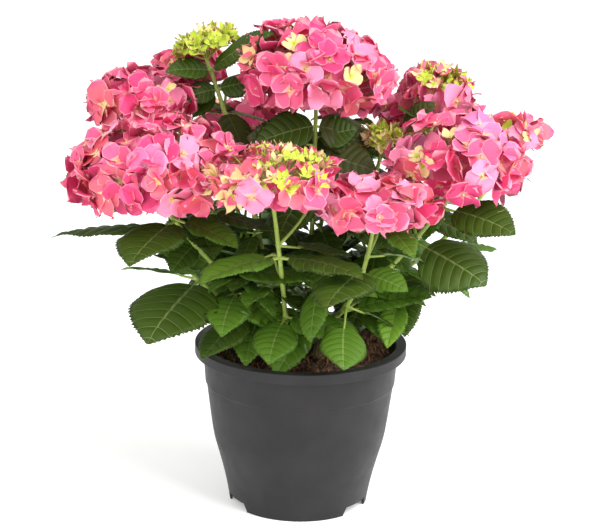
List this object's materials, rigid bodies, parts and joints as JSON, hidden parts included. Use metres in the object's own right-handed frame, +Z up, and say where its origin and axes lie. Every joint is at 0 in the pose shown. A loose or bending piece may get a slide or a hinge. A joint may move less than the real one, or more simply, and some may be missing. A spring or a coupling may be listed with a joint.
{
  "type": "potted hydrangea shrub",
  "caption": "Mophead hydrangea shrub in flower in a round tapered plastic pot: canes fork into leafy shoots that end in rounded pink and lime blooms.",
  "frame": {"origin": "middle of the pot's flat underside, at ground level", "axes": "+Z up along the pot's axis, -Y towards the front of the plant, +X to its right seen from the front"},
  "size_m": [0.562, 0.4501, 0.5565],
  "materials": {
    "pot": "dark grey moulded plastic, satin, faint mould texture",
    "soil": "loose dark brown peat compost with reddish fibres",
    "bark": "pale brown woody cane with fine lengthwise cracks",
    "green_stem": "smooth pale green stem with small darker flecks",
    "foliage": "dark green toothed leaves with pale veins, slightly glossy",
    "pink_bloom": "soft matt pink sepals with paler edges and cream bases",
    "lime_bloom": "soft matt lime green immature sepals"
  },
  "bodies": {
    "root": {"pot": "pot", "soil": "soil", "cane_left": "bark", "cane_left_back": "bark", "cane_front": "bark", "cane_right": "bark", "cane_right_back": "bark", "cane_back": "bark", "shoot_front": "green_stem", "shoot_front_right": "green_stem", "shoot_left_front": "green_stem", "shoot_right_front": "green_stem", "shoot_left_high": "green_stem", "shoot_far_right": "green_stem", "shoot_lime": "green_stem", "shoot_top": "green_stem", "shoot_right_high": "green_stem", "shoot_left_low": "green_stem", "shoot_right_low": "green_stem", "shoot_left_behind": "green_stem", "shoot_bud": "green_stem", "shoot_back_left": "green_stem", "shoot_back_middle": "green_stem", "shoot_back_right": "green_stem", "stalk_front": "green_stem", "stalk_front_right": "green_stem", "stalk_top": "green_stem", "stalk_bud": "green_stem", "bloom_top": "pink_bloom", "bloom_left_front": "pink_bloom", "bloom_right_front": "pink_bloom", "bloom_front": "pink_bloom", "bloom_front_right": "pink_bloom", "bloom_left_high": "pink_bloom", "bloom_right_high": "pink_bloom", "bloom_far_right": "pink_bloom", "bloom_lime": "lime_bloom", "bloom_left_behind": "pink_bloom", "bloom_bud": "lime_bloom", "bloom_back_left": "pink_bloom", "bloom_back_middle": "pink_bloom", "bloom_back_right": "pink_bloom", "leaves_front": "foliage", "leaves_front_right": "foliage", "leaves_left_front": "foliage", "leaves_right_front": "foliage", "leaves_left_high": "foliage", "leaves_far_right": "foliage", "leaves_lime": "foliage", "leaves_top": "foliage", "leaves_right_high": "foliage", "leaves_left_low": "foliage", "leaves_right_low": "foliage", "leaves_left_behind": "foliage", "leaves_bud": "foliage", "leaves_back_left": "foliage", "leaves_back_middle": "foliage", "leaves_back_right": "foliage"}
  },
  "joints": []
}
